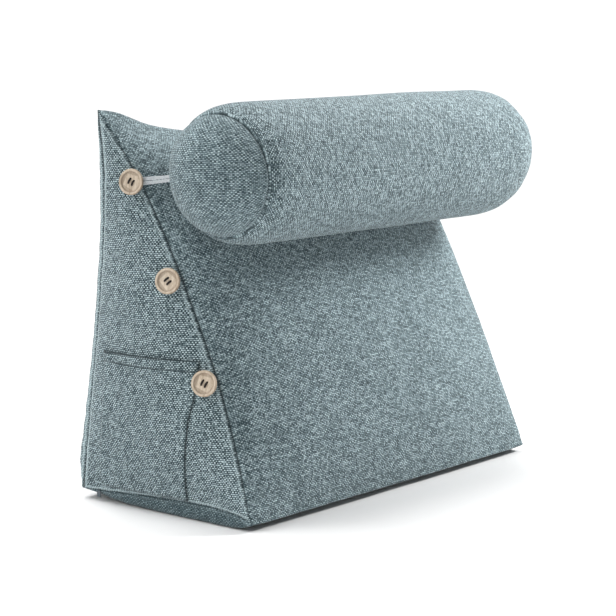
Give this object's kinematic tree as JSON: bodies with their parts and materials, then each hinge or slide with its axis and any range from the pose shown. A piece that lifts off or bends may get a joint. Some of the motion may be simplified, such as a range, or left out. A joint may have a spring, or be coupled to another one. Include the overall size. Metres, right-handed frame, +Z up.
{
  "type": "wedge pillow with neck roll",
  "caption": "Stuffed wedge back rest with a sloping front, a neck roll looped to side buttons, and a side pocket.",
  "frame": {"origin": "centre of the bounding box's lower face, on the surface that the pillow stands on", "axes": "+X across the pillow's width, +Y towards its upright back, +Z up; the slope faces -Y"},
  "size_m": [0.6548, 0.353, 0.519],
  "materials": {
    "heather_cloth": "matt blue-grey heather weave",
    "pocket_cloth": "matt blue-grey heather weave",
    "button_wood": "pale satin wood",
    "elastic": "matt ribbed elastic",
    "zip_metal": "dark slate enamel",
    "thread": "dark waxed thread"
  },
  "bodies": {
    "root": {"wedge_cushion": "heather_cloth", "neck_roll": "heather_cloth", "side_pocket": "pocket_cloth", "button_left_top": "button_wood", "button_left_middle": "button_wood", "button_left_bottom": "button_wood", "elastic_loop_left": "elastic", "button_right_top": "button_wood", "button_right_middle": "button_wood", "button_right_bottom": "button_wood", "elastic_loop_right": "elastic", "zip_pull": "zip_metal"}
  },
  "joints": []
}
